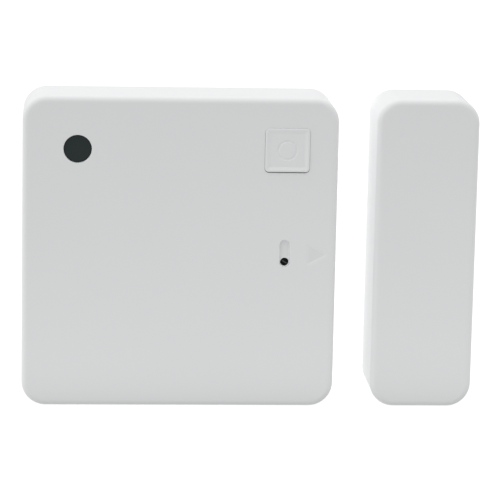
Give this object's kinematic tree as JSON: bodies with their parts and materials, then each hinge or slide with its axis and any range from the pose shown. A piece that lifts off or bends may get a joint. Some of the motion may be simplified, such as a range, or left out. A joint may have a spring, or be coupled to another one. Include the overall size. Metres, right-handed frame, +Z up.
{
  "type": "door contact sensor",
  "caption": "Wireless door contact sensor: square sensor unit with a dark window and a push button, and a slim magnet unit beside it, both with clip-on covers.",
  "frame": {"origin": "centre of the sensor unit's rear mounting face, on the wall", "axes": "+X to the right along the wall, towards the magnet unit; +Y into the wall; +Z up. The fronts face -Y"},
  "size_m": [0.0942, 0.0171, 0.065],
  "materials": {
    "white_plastic": "fine matt grain",
    "button_plastic": "fine matt grain",
    "inner_plastic": "plain moulded",
    "smoked_lens": "glossy smoked",
    "light_pipe": "glossy smoked",
    "foam_tape": "closed-cell foam",
    "circuit_laminate": "solder mask",
    "module_laminate": "solder mask",
    "zinc_steel": "zinc plated",
    "tinned_shield": "tinned sheet",
    "capacitor_can": "anodised can",
    "chip_resin": "moulded resin",
    "ceramic_parts": "ceramic",
    "switch_plastic": "moulded",
    "plunger_pale": "moulded",
    "plunger_red": "moulded",
    "spring_steel": "nickel plated",
    "reed_tube_glass": "clear tinted glass",
    "reed_alloy": "drawn wire",
    "led_resin": "translucent resin",
    "cell_sleeve": "printed sleeve without lettering",
    "magnet_nickel": "nickel plated"
  },
  "bodies": {
    "sensor_base": {"base_plate": "inner_plastic", "adhesive_pad": "foam_tape", "circuit_board": "circuit_laminate", "board_screws": "zinc_steel", "radio_module": "module_laminate", "radio_shield": "tinned_shield", "main_chip": "chip_resin", "crystal": "tinned_shield", "smoothing_capacitor": "capacitor_can", "small_components": "ceramic_parts", "tact_switch_body": "switch_plastic", "tamper_switch_body": "switch_plastic", "tamper_spring": "spring_steel", "reed_glass": "reed_tube_glass", "reed_blades": "reed_alloy", "status_led": "led_resin", "light_sensor": "chip_resin", "battery_cell_upper": "cell_sleeve", "battery_cell_lower": "cell_sleeve", "battery_springs": "spring_steel", "battery_link_plate": "spring_steel", "battery_terminals": "spring_steel"},
    "cover": {"front_cover": "white_plastic", "sensor_window": "smoked_lens", "indicator_light_pipe": "light_pipe"},
    "button": {"push_button": "button_plastic"},
    "tact_plunger": {"tact_switch_plunger": "plunger_pale"},
    "tamper_plunger": {"tamper_switch_plunger": "plunger_red"},
    "magnet_unit": {"magnet_base": "inner_plastic", "bar_magnet": "magnet_nickel", "magnet_adhesive_pad": "foam_tape"},
    "magnet_front": {"magnet_cover": "white_plastic"}
  },
  "joints": [
    {"name": "cover_pull", "type": "slide", "parent": "sensor_base", "child": "cover", "axis": [0, -1, 0], "range_m": [0, 0.03]},
    {"name": "button_press", "type": "slide", "parent": "cover", "child": "button", "axis": [0, 1, 0], "range_m": [0, 0.00035], "stiffness_N_per_m": 3000},
    {"name": "tact_plunger_press", "type": "slide", "parent": "sensor_base", "child": "tact_plunger", "axis": [0, 1, 0], "range_m": [0, 0.00035]},
    {"name": "tamper_release", "type": "slide", "parent": "sensor_base", "child": "tamper_plunger", "axis": [0, -1, 0], "range_m": [0, 0.0012], "deforming": ["tamper_spring"]},
    {"name": "magnet_travel", "type": "slide", "parent": "sensor_base", "child": "magnet_unit", "axis": [1, 0, 0], "range_m": [0, 0.06]},
    {"name": "magnet_cover_pull", "type": "slide", "parent": "magnet_unit", "child": "magnet_front", "axis": [0, -1, 0], "range_m": [0, 0.025]}
  ],
  "couplings": [
    {"joint": "tact_plunger_press", "follows": "button_press", "ratio": 1},
    {"joint": "tamper_release", "follows": "cover_pull", "ratio": 0.04}
  ]
}
